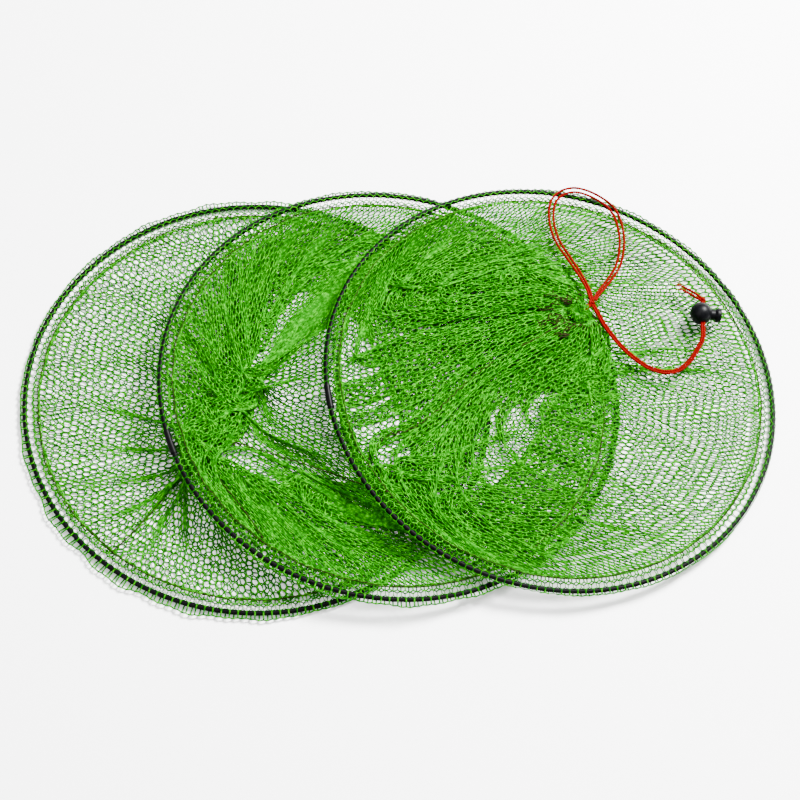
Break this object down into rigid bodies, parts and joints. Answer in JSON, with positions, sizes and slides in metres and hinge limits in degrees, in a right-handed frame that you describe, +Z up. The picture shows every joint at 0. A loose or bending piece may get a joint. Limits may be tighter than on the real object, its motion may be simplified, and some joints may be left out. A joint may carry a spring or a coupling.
{
  "type": "folding crab trap",
  "caption": "Collapsible net trap: wire hoops carrying a slack netting tube, closed below, with a drawstring mouth and a ball cord lock, laid flat with its hoops fanned out.",
  "frame": {"origin": "on the surface that the trap rests on, under the centre of the bottom hoop", "axes": "+Z up; +X from the bottom hoop towards the top hoop, the way the hoops are fanned"},
  "size_m": [0.5466, 0.335, 0.0296],
  "materials": {
    "hoop_wire": "satin black coat on spring steel",
    "hoop_sleeve": "smooth black",
    "netting": "bright green polyethylene mesh",
    "thread": "dark olive brown sewing thread",
    "cord": "twisted red cord",
    "lock_plastic": "fine moulded black",
    "spring_steel": "bright"
  },
  "bodies": {
    "bottom_ring": {"bottom_hoop": "hoop_wire", "bottom_hoop_sleeve": "hoop_sleeve", "bottom_hem": "netting", "bottom_stitching": "thread", "bottom_net": "netting"},
    "middle_ring": {"middle_hoop": "hoop_wire", "middle_hoop_sleeve": "hoop_sleeve", "middle_hem": "netting", "middle_stitching": "thread", "lower_net": "netting", "lower_side_seam": "thread"},
    "top_ring": {"top_hoop": "hoop_wire", "top_hoop_sleeve": "hoop_sleeve", "top_hem": "netting", "top_stitching": "thread", "upper_net": "netting", "upper_side_seam": "thread"},
    "neck": {"mouth_net": "netting", "mouth_side_seam": "thread", "mouth_gather": "netting", "drawstring": "cord", "loop_knot": "cord", "loop_outer_strand": "cord", "loop_inner_strand": "cord", "tail_left_strand": "cord", "tail_right_strand": "cord", "end_knot": "cord", "cord_ends": "cord"},
    "cord_lock": {"lock_body": "lock_plastic", "lock_spring": "spring_steel"},
    "lock_button": {"lock_button": "lock_plastic"}
  },
  "joints": [
    {"name": "middle_ring_raise", "type": "slide", "parent": "bottom_ring", "child": "middle_ring", "axis": [-0.4501, 0, 0.893], "range_m": [0, 0.211], "deforming": ["lower_net", "lower_side_seam"]},
    {"name": "top_ring_raise", "type": "slide", "parent": "middle_ring", "child": "top_ring", "axis": [-0.5049, 0, 0.8632], "range_m": [0, 0.2317], "deforming": ["upper_net", "upper_side_seam"]},
    {"name": "mouth_raise", "type": "slide", "parent": "top_ring", "child": "neck", "axis": [-0.1476, -0.2951, 0.944], "range_m": [0, 0.1796], "deforming": ["mouth_net", "mouth_side_seam"]},
    {"name": "cord_lock_slide", "type": "slide", "parent": "neck", "child": "cord_lock", "axis": [-0.1736, -0.9848, 0], "range_m": [0, 0.012]},
    {"name": "lock_button_press", "type": "slide", "parent": "cord_lock", "child": "lock_button", "axis": [-0.9848, 0.1736, 0], "range_m": [0, 0.0024], "stiffness_N_per_m": 400, "springref_m": -0.003, "deforming": ["lock_spring"]}
  ]
}
